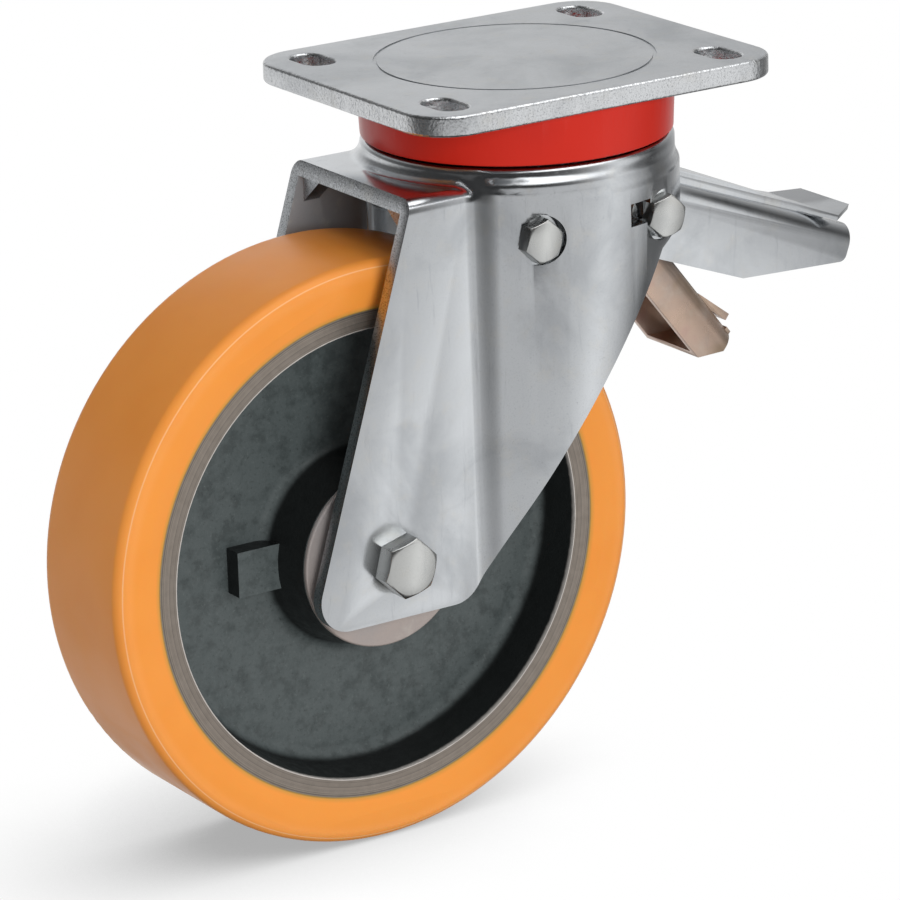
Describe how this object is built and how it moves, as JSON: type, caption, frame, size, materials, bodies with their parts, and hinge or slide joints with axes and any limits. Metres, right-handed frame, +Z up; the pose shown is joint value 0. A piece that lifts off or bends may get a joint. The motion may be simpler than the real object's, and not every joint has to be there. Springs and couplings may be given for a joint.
{
  "type": "swivel castor",
  "caption": "Heavy swivel castor with a slotted bolting plate, pressed steel fork, dished iron wheel with a soft orange tread, and a foot brake with a release lever.",
  "frame": {"origin": "centre of the bolting plate's top face, on the swivel axis", "axes": "+Z up along the swivel axis, +X towards the brake pedal, the wheel trails towards -X with its axle along Y"},
  "size_m": [0.3025, 0.114, 0.252],
  "materials": {
    "zinc_sheet": "satin",
    "zinc_fastener": "satin",
    "red_ring": "gloss",
    "bearing_steel": "polished",
    "iron": "rough",
    "tread": "satin",
    "lever_sheet": "satin",
    "shoe_block": "rough"
  },
  "bodies": {
    "plate": {"top_plate": "zinc_sheet", "plate_race": "bearing_steel", "dust_ring": "red_ring", "neck_cone": "bearing_steel", "kingpin_washer": "zinc_fastener", "kingpin_nut": "zinc_fastener"},
    "fork_frame": {"fork": "zinc_sheet", "crown_race": "bearing_steel", "upper_balls": "bearing_steel", "neck_cup": "bearing_steel", "neck_balls": "bearing_steel", "axle_bolt": "zinc_fastener", "axle_washer": "zinc_fastener", "axle_nut": "zinc_fastener", "axle_sleeve": "bearing_steel", "bearing_spacer": "bearing_steel", "axle_bush_near": "zinc_fastener", "axle_bush_far": "zinc_fastener", "hub_shield_near": "zinc_fastener", "hub_shield_far": "zinc_fastener", "bearing_inner_near": "bearing_steel", "bearing_inner_far": "bearing_steel", "front_pivot_bolt": "zinc_fastener", "front_pivot_nut": "zinc_fastener", "front_pivot_sleeve": "bearing_steel", "front_pivot_spacers": "zinc_fastener", "rear_pivot_bolt": "zinc_fastener", "rear_pivot_nut": "zinc_fastener", "rear_pivot_sleeve": "bearing_steel", "rear_pivot_spacers": "zinc_fastener", "return_spring": "bearing_steel"},
    "wheel": {"wheel_centre": "iron", "tyre": "tread", "bearing_outer_near": "bearing_steel", "bearing_outer_far": "bearing_steel", "bearing_balls_near": "bearing_steel", "bearing_balls_far": "bearing_steel"},
    "pedal": {"brake_pedal": "zinc_sheet"},
    "lever": {"release_lever": "lever_sheet"},
    "shoe_arm": {"brake_arm": "zinc_sheet", "brake_shoe": "shoe_block", "shoe_rivets": "zinc_fastener"}
  },
  "joints": [
    {"name": "swivel", "type": "hinge", "parent": "plate", "child": "fork_frame", "pos_m": [0, 0, 0], "axis": [0, 0, 1], "continuous": true},
    {"name": "wheel_spin", "type": "hinge", "parent": "fork_frame", "child": "wheel", "pos_m": [-0.074, 0, -0.152], "axis": [0, 1, 0], "continuous": true},
    {"name": "brake_pedal_hinge", "type": "hinge", "parent": "fork_frame", "child": "pedal", "pos_m": [0.0245, 0, -0.0485], "axis": [0, 1, 0], "range_deg": [0, 12]},
    {"name": "release_lever_hinge", "type": "hinge", "parent": "fork_frame", "child": "lever", "pos_m": [0.0245, 0, -0.0485], "axis": [0, 1, 0], "range_deg": [-6, 0]},
    {"name": "brake_arm_hinge", "type": "hinge", "parent": "fork_frame", "child": "shoe_arm", "pos_m": [-0.0245, 0, -0.0485], "axis": [0, 1, 0], "range_deg": [0, 3.6]}
  ],
  "couplings": [
    {"joint": "release_lever_hinge", "follows": "brake_pedal_hinge", "ratio": -0.5},
    {"joint": "brake_arm_hinge", "follows": "brake_pedal_hinge", "ratio": 0.3}
  ]
}
